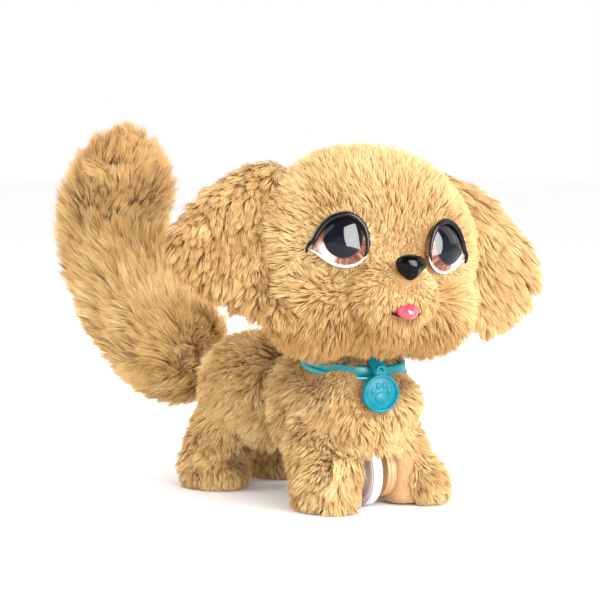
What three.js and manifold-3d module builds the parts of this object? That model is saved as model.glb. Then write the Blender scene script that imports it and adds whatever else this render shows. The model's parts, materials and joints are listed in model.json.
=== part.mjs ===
// A walking plush puppy: a furry battery toy dog on a drive wheel, in millimetres.
// Frame: +Z up, the chest and the head face -Y, the dog's left side is +X.
// The front half stands straight in this frame. The rear half is swung about the
// waist pin, and everything behind the waist is built straight in a turned group.

import * as THREE from 'three';
import { mergeVertices } from 'three/addons/utils/BufferGeometryUtils.js';
import Module from 'manifold-3d';

const wasm = await Module();
wasm.setup();

// Driving dimensions.
const GAP = 0.3;                          // clearance kept between neighbouring pieces
const BEND = THREE.MathUtils.degToRad(22); // how far the rear half is swung at rest
const ORIGIN_SHIFT = [0.3, -84.55, 0];       // puts the origin under the middle of the toy
const WAIST = { y: 46, top: 62, bottom: 36, hollow: 31 };
const CHEST = { centre: [0, 20, 50], radii: [43, 38.5, 38], top: 70, belly: 30, back: 54 };
const NECK = { y: 17, radius: 25, top: 78.6, post: 7 };
const HEAD = { centre: [0, 8, 138], radii: [66, 50, 57], base: 81.5 };
const MUZZLE = { centre: [0, -35.5, 116], radii: [27, 23, 19] };
const CORE = { centre: [0, 8, 140], radii: [40, 30, 36] };
const EYE = { x: 30.5, z: 143, radius: 13.2, rim: 15.4 };
const EAR = { centre: [77.5, 12, 135.5], radii: [33, 13, 42], tilt: 18 };
const EAR_LIFT = { left: 0, right: 6 };
const HEAD_TURN = THREE.MathUtils.degToRad(-7);  // the head and the collar look a little to the right
const HEAD_TILT = THREE.MathUtils.degToRad(5);   // the left side of the head hangs lower
const HEAD_SHIFT = -3.5;                         // so that the tilted head stays over the neck
const NOSE = { centre: [0, -56, 132], radii: [10, 6.5, 6.5] };
const TONGUE = { centre: [0, -53, 110.5], radii: [6, 8, 4.5] };
const FRONT_LEG = { x: 32.5, y: 0, radius: 16.5, depth: 1.15, height: 52 };
const HIND_LEG = { x: 27, y: 60, radius: 17.5, depth: 1.25, height: 52 };
const SOLE = { thickness: 3, share: 0.76 };
const WHEEL = { radius: 18, x: -4, half: 3, axle: 1.5 };
const HOUSING = { x: 17, front: -11.3, back: 17.7, bottom: 30.3, top: 64, wall: 1.8 };
const CHEEK = { inner: 12.5, outer: 14.5, half: 12, bottom: 9, rib: 50 };
const GEAR = { module: 1, axle: 24, small: 10, big: 16, pinion: 8, thick: 2.4 };
const GUARD = { inner: 4.3, outer: 5.8, radius: 13.6, top: 36.5 };
const HAUNCH = { centre: [0, 52, 50], radii: [37, 38, 39], belly: 26 };
const REAR_BOX = { x: 18, front: 21, back: 74, bottom: 26.3, top: 66, wall: 1.6 };
const CELL = { radius: 5.25, length: 44.5, pitch: 10.8, z: 34.4 };
const TAIL = { y: 81.5, z: 64, start: 88.5 };
const COLLAR = { y: 17, inner: 27, outer: 30.3, bottom: 72.6, top: 78.4 };
const TAG = { y: -20.6, z: 75.6, radius: 10.5, thick: 2.2, reach: 12.6 };

// Colours of the materials.
const FUR = { color: 0xd4a45c, roughness: 0.95, metalness: 0 };
const VELOUR = { color: 0xc99a5e, roughness: 0.9, metalness: 0 };
const STUFFING = { color: 0xf2efe8, roughness: 1, metalness: 0 };
const BLACK_GLOSS = { color: 0x0c0c10, roughness: 0.12, metalness: 0 };
const LENS = { color: 0x4a2c20, roughness: 0.05, metalness: 0 };
const PINK = { color: 0xe2556c, roughness: 0.2, metalness: 0 };
const TEAL = { color: 0x17a3a6, roughness: 0.35, metalness: 0 };
const WHITE_PLASTIC = { color: 0xeceaf2, roughness: 0.3, metalness: 0 };
const TREAD = { color: 0xdad6e4, roughness: 0.6, metalness: 0 };
const GREY_PLASTIC = { color: 0x8f949a, roughness: 0.5, metalness: 0 };
const TAN_PLASTIC = { color: 0xc79a63, roughness: 0.6, metalness: 0 };
const STEEL = { color: 0xb9bcc0, roughness: 0.3, metalness: 1 };
const BOARD = { color: 0x1f6b3a, roughness: 0.5, metalness: 0 };
const CELL_LABEL = { color: 0x2f3a4a, roughness: 0.35, metalness: 0.2 };
const NYLON = { color: 0xf3f1ea, roughness: 0.45, metalness: 0 };

// ---- Solids: closed meshes that can be joined and cut ----

function solid(geometry) {
  const bare = geometry.clone();
  bare.deleteAttribute('normal');
  bare.deleteAttribute('uv');
  const merged = mergeVertices(bare, 1e-4);
  const index = merged.index.array;
  const triangles = [];
  for (let i = 0; i < index.length; i += 3) {
    const [a, b, c] = [index[i], index[i + 1], index[i + 2]];
    if (a !== b && b !== c && c !== a) triangles.push(a, b, c);
  }
  return new wasm.Manifold(new wasm.Mesh({
    numProp: 3,
    vertProperties: new Float32Array(merged.attributes.position.array),
    triVerts: new Uint32Array(triangles),
  }));
}

function geometryOf(body) {
  const mesh = body.getMesh();
  const geometry = new THREE.BufferGeometry();
  geometry.setAttribute('position', new THREE.BufferAttribute(new Float32Array(mesh.vertProperties), 3));
  geometry.setIndex(new THREE.BufferAttribute(new Uint32Array(mesh.triVerts), 1));
  geometry.computeVertexNormals();
  return geometry;
}

function cut(body, ...tools) {
  return tools.reduce((left, tool) => left.subtract(tool), body);
}

function join(...bodies) {
  return bodies.reduce((sum, body) => sum.add(body));
}

// ---- Primitive shapes ----

function ellipsoid(centre, radii, around = 24, down = 16) {
  const geometry = new THREE.SphereGeometry(1, around, down);
  geometry.rotateX(Math.PI / 2);
  geometry.scale(...radii);
  geometry.translate(...centre);
  return geometry;
}

// A box between two corners.
function block([x0, y0, z0], [x1, y1, z1]) {
  const geometry = new THREE.BoxGeometry(x1 - x0, y1 - y0, z1 - z0);
  geometry.translate((x0 + x1) / 2, (y0 + y1) / 2, (z0 + z1) / 2);
  return geometry;
}

// A round bar standing on [x, y] from z0 to z1.
function post([x, y], radius, z0, z1, sides = 24) {
  const geometry = new THREE.CylinderGeometry(radius, radius, z1 - z0, sides);
  geometry.rotateX(Math.PI / 2);
  geometry.translate(x, y, (z0 + z1) / 2);
  return geometry;
}

// A round bar along X through [y, z] from x0 to x1.
function bar([y, z], radius, x0, x1, sides = 24) {
  const geometry = new THREE.CylinderGeometry(radius, radius, x1 - x0, sides);
  geometry.rotateZ(Math.PI / 2);
  geometry.translate((x0 + x1) / 2, y, z);
  return geometry;
}

// A turned shape about Z. The profile is a list of [radius, z] that climbs on its outer side.
function turned(profile, sides = 24) {
  const points = profile.map(([radius, z]) => new THREE.Vector2(radius, z));
  const geometry = new THREE.LatheGeometry(points, sides);
  geometry.rotateX(Math.PI / 2);
  return geometry;
}

// A tube with closed round ends along a curve, its radius given along the way.
function softTube(curve, radiusAt, rings, sides) {
  const frames = curve.computeFrenetFrames(rings, false);
  const positions = [];
  const index = [];
  const add = (point) => positions.push(point.x, point.y, point.z);
  add(curve.getPointAt(0));
  for (let ring = 0; ring <= rings; ring += 1) {
    const centre = curve.getPointAt(ring / rings);
    for (let side = 0; side < sides; side += 1) {
      const angle = (2 * Math.PI * side) / sides;
      const spoke = frames.normals[ring].clone().multiplyScalar(Math.cos(angle));
      spoke.addScaledVector(frames.binormals[ring], Math.sin(angle));
      add(centre.clone().addScaledVector(spoke, radiusAt(ring / rings)));
    }
  }
  add(curve.getPointAt(1));
  const last = positions.length / 3 - 1;
  const at = (ring, side) => 1 + ring * sides + (side % sides);
  for (let side = 0; side < sides; side += 1) {
    index.push(0, at(0, side + 1), at(0, side));
    index.push(last, at(rings, side), at(rings, side + 1));
    for (let ring = 0; ring < rings; ring += 1) {
      index.push(at(ring, side), at(ring, side + 1), at(ring + 1, side + 1));
      index.push(at(ring, side), at(ring + 1, side + 1), at(ring + 1, side));
    }
  }
  const geometry = new THREE.BufferGeometry();
  geometry.setAttribute('position', new THREE.Float32BufferAttribute(positions, 3));
  geometry.setIndex(index);
  return geometry;
}

// A spur gear about Z from z0 to z1, with straight-sided teeth thinned for running clearance.
function gearBlank(teeth, z0, z1, phase = 0) {
  const pitch = (GEAR.module * teeth) / 2;
  const root = pitch - 1.15 * GEAR.module;
  const tip = pitch + 0.75 * GEAR.module;
  const step = (2 * Math.PI) / teeth;
  const corners = [[root, -0.27], [tip, -0.1], [tip, 0.1], [root, 0.27]];
  const shape = new THREE.Shape();
  for (let tooth = 0; tooth < teeth; tooth += 1) {
    for (const [radius, share] of corners) {
      const angle = phase + (tooth + share) * step;
      const point = [radius * Math.cos(angle), radius * Math.sin(angle)];
      if (tooth === 0 && share === corners[0][1]) shape.moveTo(...point);
      else shape.lineTo(...point);
    }
  }
  const geometry = new THREE.ExtrudeGeometry(shape, { depth: z1 - z0, bevelEnabled: false });
  geometry.translate(0, 0, z0);
  return geometry;
}

// Lays a shape built about Z onto an X axis through [y, z].
function alongX(geometry, [y, z]) {
  geometry.rotateZ(Math.PI / 2);
  geometry.rotateY(Math.PI / 2);
  geometry.translate(0, y, z);
  return geometry;
}

function named(name, look, body) {
  const geometry = body instanceof THREE.BufferGeometry ? body : geometryOf(body);
  const mesh = new THREE.Mesh(geometry, new THREE.MeshStandardMaterial(look));
  mesh.name = name;
  return mesh;
}

function grown(radii, extra) {
  return radii.map((radius) => radius + extra);
}

function mirrored([x, y, z], side) {
  return [x * side, y, z];
}

const SIDES = [['left', 1], ['right', -1]];
const BIG = 200;

// ---- Front half ----

function chestOuter(extra = 0) {
  const body = solid(ellipsoid(CHEST.centre, grown(CHEST.radii, extra), 24, 14));
  return cut(body,
    solid(block([-BIG, -BIG, CHEST.top + extra], [BIG, BIG, BIG])),
    solid(block([-BIG, -BIG, -BIG], [BIG, BIG, CHEST.belly - extra])),
    solid(block([-BIG, CHEST.back + extra, -BIG], [BIG, BIG, BIG])));
}

function chestPlush() {
  const neck = solid(post([0, NECK.y], NECK.radius, CHEST.top - 10, NECK.top, 28));
  const { x, front, back, top } = HOUSING;
  const cavity = solid(block([-x - GAP, front - GAP, 0], [x + GAP, back + 8, top + GAP]));
  const waist = solid(post([0, WAIST.y], WAIST.hollow, 0, 65.5, 32));
  const wheelWell = solid(bar([0, WHEEL.radius], WHEEL.radius + 1.2, -CHEEK.outer, CHEEK.outer, 28));
  const postHole = solid(post([0, NECK.y], NECK.post + GAP, 60, 90, 20));
  return cut(chestOuter().add(neck), cavity, waist, wheelWell, postHole);
}

// A leg stands on its sole. Its foot is wider than the ankle, and the upper leg follows the body.
function legShape(leg, side) {
  const { x, y, radius, depth, height } = leg;
  const low = SOLE.thickness + GAP;
  const profile = [
    [0, low], [radius * 0.9, low], [radius, 8], [radius, 14], [radius * 0.9, 24],
    [radius * 0.92, height * 0.7], [radius * 0.7, height * 0.93], [0, height],
  ];
  const geometry = turned(profile, 14);
  geometry.scale(1, depth, 1);
  geometry.translate(x * side, y, 0);
  return solid(geometry);
}

function soleShape(leg, side) {
  const { x, y, radius, depth } = leg;
  const geometry = post([0, 0], radius * SOLE.share, 0, SOLE.thickness, 18);
  geometry.scale(1, depth, 1);
  geometry.translate(x * side, y, 0);
  return geometry;
}

// One half of the drive housing: a tray open to the middle, with a cheek beside the wheel.
function driveHousing(side) {
  const { x, front, back, bottom, top, wall } = HOUSING;
  const start = GAP / 2;
  const span = (x0, x1) => (side > 0 ? [x0, x1] : [-x1, -x0]);
  const box = (x0, x1, y0, y1, z0, z1) => {
    const [a, b] = span(x0, x1);
    return solid(block([a, y0, z0], [b, y1, z1]));
  };
  const shell = box(start, x, front, back, bottom, top);
  const hollow = box(start - 1, x - wall, front + wall, back - wall, bottom + wall, top - wall);
  const cheek = join(
    box(CHEEK.inner, CHEEK.outer, -CHEEK.half, CHEEK.half, CHEEK.bottom + 6, bottom + wall + 0.5),
    box(CHEEK.inner, CHEEK.outer, -CHEEK.half + 5, CHEEK.half - 5, CHEEK.bottom, CHEEK.bottom + 8),
    box(CHEEK.inner, CHEEK.outer, -CHEEK.half + 4, CHEEK.half + 3.7, bottom, CHEEK.rib));
  const [holeStart, holeEnd] = span(0, BIG);
  const axleHole = solid(bar([0, WHEEL.radius], WHEEL.axle + 0.4, holeStart, holeEnd, 16));
  const well = solid(bar([0, WHEEL.radius], WHEEL.radius + 1.2, ...span(-1, CHEEK.inner - 0.1), 28));
  const slots = side > 0
    ? [solid(bar([0, idlerZ()], WHEEL.axle + 0.4, 8, CHEEK.outer + 0.1, 16)),
      solid(bar([pinionY(), pinionZ()], 1.4, 8, CHEEK.outer + 0.1, 16))]
    : [];
  const tray = cut(shell.subtract(hollow).add(cheek), axleHole, well, ...slots);
  return side > 0 ? tray.add(gearGuard().subtract(axleHole)) : tray;
}

// A round plate between the wheel and the gears, hung between the walls of the left tray.
function gearGuard() {
  const { inner, outer, radius, top } = GUARD;
  return join(
    solid(bar([0, WHEEL.radius], radius, inner, outer, 28)),
    solid(block([inner, -9, WHEEL.radius], [outer, 9, 35])),
    solid(block([inner, HOUSING.front + 0.5, 34.5], [outer, HOUSING.back - 0.5, top])));
}

function idlerZ() {
  return WHEEL.radius + (GEAR.module * (GEAR.axle + GEAR.small)) / 2 + 0.15;
}

function pinionDistance() {
  return (GEAR.module * (GEAR.big + GEAR.pinion)) / 2 + 0.15;
}

function pinionY() {
  return 8;
}

function pinionZ() {
  return idlerZ() + Math.sqrt(pinionDistance() ** 2 - pinionY() ** 2);
}

function motorCan() {
  const at = [pinionY(), pinionZ()];
  return solid(bar(at, 7.4, -12, 5.8, 20));
}

// Gears stand tooth to gap: the first gear has a tooth on the line of centres, its mate a gap.
function axleGear() {
  const blank = solid(alongX(gearBlank(GEAR.axle, 6.1, 6.1 + GEAR.thick, Math.PI / 2), [0, WHEEL.radius]));
  return blank.subtract(solid(bar([0, WHEEL.radius], WHEEL.axle + GAP, 5, 10, 16)));
}

const SMALL_PHASE = -Math.PI / 2 + Math.PI / GEAR.small;
const BIG_LINE = Math.atan2(pinionZ() - idlerZ(), pinionY());

function idlerGear() {
  const at = [0, idlerZ()];
  return join(
    solid(alongX(gearBlank(GEAR.small, 6.1, 9.2, SMALL_PHASE), at)),
    solid(alongX(gearBlank(GEAR.big, 9.1, 9.1 + GEAR.thick, BIG_LINE), at)),
    solid(bar(at, WHEEL.axle, 6.3, CHEEK.outer, 16)));
}

function motorPinion() {
  const at = [pinionY(), pinionZ()];
  const phase = BIG_LINE + Math.PI + Math.PI / GEAR.pinion;
  return join(
    solid(alongX(gearBlank(GEAR.pinion, 9.1, 9.1 + GEAR.thick, phase), at)),
    solid(bar(at, 1, 6.1, CHEEK.outer, 8)));
}

// The wheel runs a little right of the middle, clear of the gears on its left.
function wheelRim() {
  const half = WHEEL.half;
  const web = half - 1.4;
  const bore = WHEEL.axle + GAP;
  const profile = [
    [bore, -half], [5, -half], [6, -web], [13, -web], [14, -half], [16.2, -half],
    [16.2, half], [14, half], [13, web], [6, web], [5, half], [bore, half], [bore, -half],
  ];
  return alongX(turned(profile, 24), [0, WHEEL.radius]).translate(WHEEL.x, 0, 0);
}

function wheelTread() {
  const half = WHEEL.half - 0.3;
  const inner = 16.2 + GAP;
  const profile = [
    [inner, -half], [WHEEL.radius - 0.6, -half], [WHEEL.radius, -half + 1.2], [WHEEL.radius, half - 1.2],
    [WHEEL.radius - 0.6, half], [inner, half], [inner, -half],
  ];
  return alongX(turned(profile, 24), [0, WHEEL.radius]).translate(WHEEL.x, 0, 0);
}

// The fork carries the waist pin between two plates.
function waistFork() {
  const start = HOUSING.back + GAP;
  const plate = (z0, z1) => join(
    solid(block([-8, start, z0], [8, WAIST.y, z1])),
    solid(post([0, WAIST.y], 8, z0, z1, 20)));
  const body = join(
    plate(WAIST.bottom, WAIST.bottom + 3),
    plate(WAIST.top - 3, WAIST.top),
    solid(block([-8, start, WAIST.bottom], [8, start + 3, WAIST.top])));
  return body.subtract(solid(post([0, WAIST.y], 2.5 + GAP, 0, 90, 16)));
}

function waistPin() {
  const profile = [
    [0, WAIST.bottom - 2.3], [4.5, WAIST.bottom - 2.3], [4.5, WAIST.bottom - GAP],
    [2.5, WAIST.bottom - GAP], [2.5, WAIST.top + 1], [0, WAIST.top + 1],
  ];
  const geometry = turned(profile, 16);
  geometry.translate(0, WAIST.y, 0);
  return geometry;
}

function circuitBoard() {
  return join(
    solid(block([-13, -7, 57.4], [13, 13, 59])),
    solid(block([-6, -2, 58.9], [4, 6, 60.6])));
}

function speaker() {
  const profile = [[0, 0], [9, 0], [9, 2], [6, 3.4], [6, 5.4], [0, 5.4]];
  const geometry = turned(profile, 24);
  geometry.rotateX(-Math.PI / 2);
  geometry.translate(0, HOUSING.front + HOUSING.wall + GAP, 48);
  return geometry;
}

function neckPost() {
  const profile = [[0, HOUSING.top + GAP], [NECK.post, HOUSING.top + GAP], [NECK.post, 93], [5, 96], [0, 96]];
  const geometry = turned(profile, 20);
  geometry.translate(0, NECK.y, 0);
  return geometry;
}

function switchPlate() {
  const plate = solid(block([-12, HOUSING.back + GAP, 30.3], [12, 30, 33]));
  return plate.subtract(solid(block([-3.4, 21.6, 20], [6.4, 26.4, 40])));
}

function powerSlider() {
  return join(
    solid(block([-2.8, 22.2, 28], [2.8, 25.8, 34])),
    solid(block([-6, 20, 33.4], [6, 28, 35])));
}

// ---- Collar and tag ----

function ring(inner, outer, bottom, top) {
  const profile = [[inner, bottom], [outer, bottom], [outer, top], [inner, top], [inner, bottom]];
  const geometry = turned(profile, 28);
  geometry.translate(0, COLLAR.y, 0);
  return geometry;
}

function collarLoop() {
  const face = COLLAR.y - COLLAR.outer - GAP - 0.3;
  const plate = solid(block([-5, face - 1.6, COLLAR.bottom - 2], [5, face, COLLAR.top + 1]));
  const cheek = (x0, x1) => solid(block([x0, TAG.y - 1.5, TAG.z - 1.5], [x1, face - 1, TAG.z + 1.5]));
  return join(plate, cheek(3.4, 5), cheek(-5, -3.4), solid(bar([TAG.y, TAG.z], 1.2, -4, 4, 12)));
}

function tagDisc() {
  const disc = post([0, 0], TAG.radius, -TAG.thick / 2, TAG.thick / 2, 28);
  disc.rotateX(Math.PI / 2);
  disc.translate(0, TAG.y, TAG.z - TAG.reach);
  const eyelet = solid(bar([TAG.y, TAG.z], 2.9, -2.8, 2.8, 12));
  const dish = post([0, 0], TAG.radius - 1.4, 0, 2, 28);
  dish.rotateX(Math.PI / 2);
  dish.translate(0, TAG.y - TAG.thick / 2 + 0.4, TAG.z - TAG.reach);
  return cut(solid(disc).add(eyelet), solid(dish), solid(bar([TAG.y, TAG.z], 1.65, -4, 4, 12)));
}

// ---- Rear half, built straight behind the waist pin: its Y counts from the pin ----

function haunchOuter(extra = 0) {
  const body = solid(ellipsoid(HAUNCH.centre, grown(HAUNCH.radii, extra), 24, 14));
  return body.subtract(solid(block([-BIG, -BIG, -BIG], [BIG, BIG, HAUNCH.belly - extra])));
}

function haunchPlush() {
  const { x, back, top } = REAR_BOX;
  const cavity = solid(block([-x - GAP, -20, 0], [x + GAP, back + GAP, top + GAP]));
  const button = solid(post([0, 46], 12, 50, 75, 24));
  const tailRoom = solid(post([0, TAIL.y], 17.2, 46, 96, 28));
  return cut(haunchOuter(), cavity, button, tailRoom);
}

function waistKnuckle() {
  const body = join(
    solid(post([0, 0], 7, WAIST.bottom + 3 + GAP, WAIST.top - 3 - GAP, 20)),
    solid(block([-5, 0, 43], [5, 19, 56])),
    solid(block([-13, 18, 38], [13, REAR_BOX.front - GAP, 60])));
  return body.subtract(solid(post([0, 0], 2.5 + GAP, 0, 90, 16)));
}

// A gusset closes one side of the waist: a band of a drum about the pin.
function waistGusset(side) {
  const [inner, outer] = [26, 29];
  const [from, to] = [THREE.MathUtils.degToRad(-28), THREE.MathUtils.degToRad(46)];
  const shape = new THREE.Shape();
  shape.absarc(0, 0, outer, from, to, false);
  shape.absarc(0, 0, inner, to, from, true);
  const geometry = new THREE.ExtrudeGeometry(shape, { depth: 28, bevelEnabled: false, curveSegments: 8 });
  const body = solid(geometry.translate(0, 0, 36));
  const placed = side > 0 ? body : body.mirror([1, 0, 0]);
  return placed.subtract(haunchOuter(GAP));
}

function rearHousing() {
  const { x, front, back, bottom, top, wall } = REAR_BOX;
  return cut(solid(block([-x, front, bottom], [x, back, top])),
    solid(block([-x + wall, front + wall, bottom - 1], [x - wall, back - wall, top - wall])),
    solid(post([0, 46], 4 + GAP, 60, 70, 20)));
}

function batteryTray() {
  const [x, front, back] = [REAR_BOX.x - REAR_BOX.wall - GAP, 23.5, 71.5];
  return join(
    solid(block([-x, front, 41], [x, back, 42.5])),
    solid(block([-x, front, 28.8], [x, front + 1.2, 42])),
    solid(block([-x, back - 1.2, 28.8], [x, back, 42])));
}

function batteryCell(slot) {
  const { radius, length, pitch, z } = CELL;
  const profile = [
    [0, 0], [radius, 0], [radius, length - 1.2], [1.8, length - 1.2], [1.8, length - 0.2], [0, length - 0.2],
  ];
  const geometry = turned(profile, 14);
  geometry.rotateX(slot === 0 ? Math.PI / 2 : -Math.PI / 2);
  const start = 25.2;
  geometry.translate(slot * pitch, slot === 0 ? start + length : start, z);
  return geometry;
}

function batteryDoor() {
  const { x, front, back, wall } = REAR_BOX;
  const edge = wall + GAP;
  const plate = solid(block([-x + edge, front + edge, 26.3], [x - edge, back - edge, 28.3]));
  return plate.subtract(solid(post([0, 27], 2.4, 20, 30, 16)));
}

function doorScrew() {
  const profile = [[0, 26.5], [2.1, 26.5], [2.1, 28], [1.1, 28], [1.1, 28.7], [0, 28.7]];
  const geometry = turned(profile, 16);
  geometry.translate(0, 27, 0);
  return geometry;
}

function backButton() {
  const profile = [[0, 58], [4, 58], [4, 68.6], [10.5, 68.6], [10.5, 70.5], [8, 72], [0, 72]];
  const geometry = turned(profile, 24);
  geometry.translate(0, 46, 0);
  return geometry;
}

function tailBracket() {
  const start = REAR_BOX.back + GAP;
  const plate = (z0, z1) => join(
    solid(block([-4.5, start, z0], [4.5, TAIL.y, z1])),
    solid(post([0, TAIL.y], 4.5, z0, z1, 16)));
  const body = join(
    plate(TAIL.z - 9, TAIL.z - 6.5),
    plate(TAIL.z + 6.5, TAIL.z + 9),
    solid(block([-6, start, TAIL.z - 14], [6, start + 1.2, TAIL.z + 9])));
  return body.subtract(solid(post([0, TAIL.y], 2.2, 30, 90, 16)));
}

function tailCurve() {
  const route = [
    [TAIL.start, TAIL.z], [97, 64.6], [111, 71], [137, 88], [159, 114], [167, 143], [160.5, 172], [151, 198],
  ];
  return new THREE.CatmullRomCurve3(route.map(([y, z]) => new THREE.Vector3(0, y, z)));
}

// The tail swells from its root to a round brush at the tip.
function tailRadius(along) {
  const swell = 14 + 16.5 * Math.sin(Math.min(1, along / 0.5) * (Math.PI / 2));
  const tip = Math.max(0, (along - 0.8) / 0.2);
  return swell * Math.sqrt(Math.max(0.02, 1 - 0.9 * tip * tip));
}

function tailPlush() {
  const curve = tailCurve();
  const outer = solid(softTube(curve, tailRadius, 15, 16));
  const bore = solid(softTube(spineCurve(3), () => 5, 10, 8));
  return outer.subtract(bore);
}

// The spine runs up the middle of the tail from its hub. Its bore goes a little further.
function spineCurve(extra = 0) {
  const route = [
    [TAIL.start - 4, TAIL.z], [97, 64.6], [111, 71], [137, 88], [159, 114], [166, 140 + extra],
  ];
  return new THREE.CatmullRomCurve3(route.map(([y, z]) => new THREE.Vector3(0, y, z)));
}

function tailSpine() {
  return join(
    solid(softTube(spineCurve(), () => 4, 10, 8)),
    solid(post([0, TAIL.y], 4.8, TAIL.z - 6.2, TAIL.z + 6.2, 12)),
    solid(post([0, TAIL.y], 1.8, TAIL.z - 9.4, TAIL.z + 9.4, 12)));
}

// ---- Head ----

function headOuter(extra = 0) {
  const body = join(
    solid(ellipsoid(HEAD.centre, grown(HEAD.radii, extra), 24, 14)),
    solid(ellipsoid(MUZZLE.centre, grown(MUZZLE.radii, extra), 16, 8)));
  return body.subtract(solid(block([-BIG, -BIG, -BIG], [BIG, BIG, HEAD.base - extra])));
}

// Stands a shape built about Z on the face where an eye looks out.
function onEye(geometry, side) {
  const [a, b, c] = HEAD.radii;
  const rise = EYE.z - HEAD.centre[2];
  const depth = Math.sqrt(1 - (EYE.x / a) ** 2 - (rise / c) ** 2) * b;
  const normal = new THREE.Vector3((EYE.x * side) / a ** 2, -depth / b ** 2, rise / c ** 2).normalize();
  const turn = new THREE.Quaternion().setFromUnitVectors(new THREE.Vector3(0, 0, 1), normal);
  geometry.applyQuaternion(turn);
  geometry.translate(EYE.x * side, HEAD.centre[1] - depth, EYE.z);
  return geometry;
}

function eyePocket(side) {
  const [inner, outer] = [EYE.radius + GAP, EYE.rim + 0.4];
  const profile = [[0, -7.4], [inner, -7.4], [inner, -2.4], [outer, -2.4], [outer, 24], [0, 24]];
  return solid(onEye(turned(profile, 18), side));
}

function eyeSocket(side) {
  const { radius, rim } = EYE;
  const profile = [
    [0, -7], [radius, -7], [radius, -2], [rim, -2], [rim, 1], [rim - 1, 2.6], [radius, 2.2],
    [radius, 0], [0, 0],
  ];
  return onEye(turned(profile, 18), side);
}

function eyeLens(side) {
  const edge = EYE.radius - GAP;
  const profile = [[0, GAP], [edge, GAP], [edge, 1.6]];
  const steps = 4;
  for (let step = 1; step <= steps; step += 1) {
    const angle = (step / steps) * (Math.PI / 2);
    profile.push([step === steps ? 0 : edge * Math.cos(angle), 1.6 + 6 * Math.sin(angle)]);
  }
  return onEye(turned(profile, 18), side);
}

function headPlush() {
  const neckHole = solid(post([0, NECK.y], 13, 70, 120, 16));
  return cut(headOuter(),
    solid(ellipsoid(CORE.centre, CORE.radii, 14, 8)),
    neckHole,
    eyePocket(1),
    eyePocket(-1),
    solid(ellipsoid(NOSE.centre, grown(NOSE.radii, GAP + 0.1), 14, 8)),
    solid(ellipsoid(TONGUE.centre, grown(TONGUE.radii, GAP + 0.1), 12, 8)));
}

function headStuffing() {
  const body = solid(ellipsoid(CORE.centre, grown(CORE.radii, -0.6), 14, 8));
  return body.subtract(solid(post([0, NECK.y], 12.6, 70, 98, 16)));
}

function earShape(name, side) {
  const geometry = ellipsoid([0, 0, 0], EAR.radii, 16, 10);
  geometry.rotateY(THREE.MathUtils.degToRad(-(EAR.tilt + EAR_LIFT[name]) * side));
  geometry.translate(...mirrored(EAR.centre, side));
  return solid(geometry).subtract(headOuter(0.5));
}

// ---- Assembly ----

function frontHalf() {
  const group = new THREE.Group();
  group.add(named('chest_plush', FUR, chestPlush()));
  for (const [name, side] of SIDES) {
    group.add(named(`front_leg_${name}_plush`, FUR, legShape(FRONT_LEG, side).subtract(chestOuter(0.5))));
    group.add(named(`front_sole_${name}`, VELOUR, soleShape(FRONT_LEG, side)));
    group.add(named(`drive_housing_${name}`, TAN_PLASTIC, driveHousing(side)));
  }
  group.add(named('drive_motor', STEEL, motorCan()));
  group.add(named('motor_pinion', NYLON, motorPinion()));
  group.add(named('idler_gear', NYLON, idlerGear()));
  group.add(named('axle_gear', NYLON, axleGear()));
  group.add(named('wheel_axle', STEEL, bar([0, WHEEL.radius], WHEEL.axle, -CHEEK.outer, CHEEK.outer, 16)));
  group.add(named('wheel_rim', WHITE_PLASTIC, wheelRim()));
  group.add(named('wheel_tread', TREAD, wheelTread()));
  group.add(named('circuit_board', BOARD, circuitBoard()));
  group.add(named('speaker', BLACK_GLOSS, speaker()));
  group.add(named('neck_post', GREY_PLASTIC, neckPost()));
  group.add(named('switch_plate', GREY_PLASTIC, switchPlate()));
  group.add(named('power_slider', BLACK_GLOSS, powerSlider()));
  group.add(named('waist_fork', GREY_PLASTIC, waistFork()));
  group.add(named('waist_pin', STEEL, waistPin()));
  return group;
}

// A group that turns its pieces about the neck.
function aboutNeck(height, pieces, tilt, shift = 0) {
  const inner = new THREE.Group();
  inner.position.set(shift, -NECK.y, -height);
  inner.add(...pieces);
  const outer = new THREE.Group();
  outer.position.set(0, NECK.y, height);
  outer.rotation.set(0, tilt, HEAD_TURN, 'ZYX');
  outer.add(inner);
  return outer;
}

function collar() {
  return aboutNeck(COLLAR.bottom, [
    named('collar_band', TEAL, ring(COLLAR.inner, COLLAR.outer, COLLAR.bottom, COLLAR.top)),
    named('collar_piping', TEAL,
      ring(COLLAR.inner - 0.5, COLLAR.outer + 0.3, CHEST.top + GAP, COLLAR.bottom - GAP)),
    named('collar_loop', TEAL, collarLoop()),
    named('tag_disc', TEAL, tagDisc()),
  ], 0);
}

function rearHalf() {
  const group = new THREE.Group();
  group.position.set(0, WAIST.y, 0);
  group.rotation.z = BEND;
  group.add(named('haunch_plush', FUR, haunchPlush()));
  for (const [name, side] of SIDES) {
    group.add(named(`hind_leg_${name}_plush`, FUR, legShape(HIND_LEG, side).subtract(haunchOuter(0.5))));
    group.add(named(`hind_sole_${name}`, VELOUR, soleShape(HIND_LEG, side)));
    group.add(named(`waist_gusset_${name}`, FUR, waistGusset(side)));
  }
  group.add(named('waist_knuckle', GREY_PLASTIC, waistKnuckle()));
  group.add(named('rear_housing', GREY_PLASTIC, rearHousing()));
  group.add(named('battery_tray', GREY_PLASTIC, batteryTray()));
  for (const slot of [-1, 0, 1]) {
    group.add(named(`battery_cell_${slot + 2}`, CELL_LABEL, batteryCell(slot)));
  }
  group.add(named('battery_door', GREY_PLASTIC, batteryDoor()));
  group.add(named('battery_door_screw', STEEL, doorScrew()));
  group.add(named('back_button', WHITE_PLASTIC, backButton()));
  group.add(named('tail_bracket', GREY_PLASTIC, tailBracket()));
  group.add(named('tail_spine', NYLON, tailSpine()));
  group.add(named('tail_plush', FUR, tailPlush()));
  return group;
}

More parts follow.
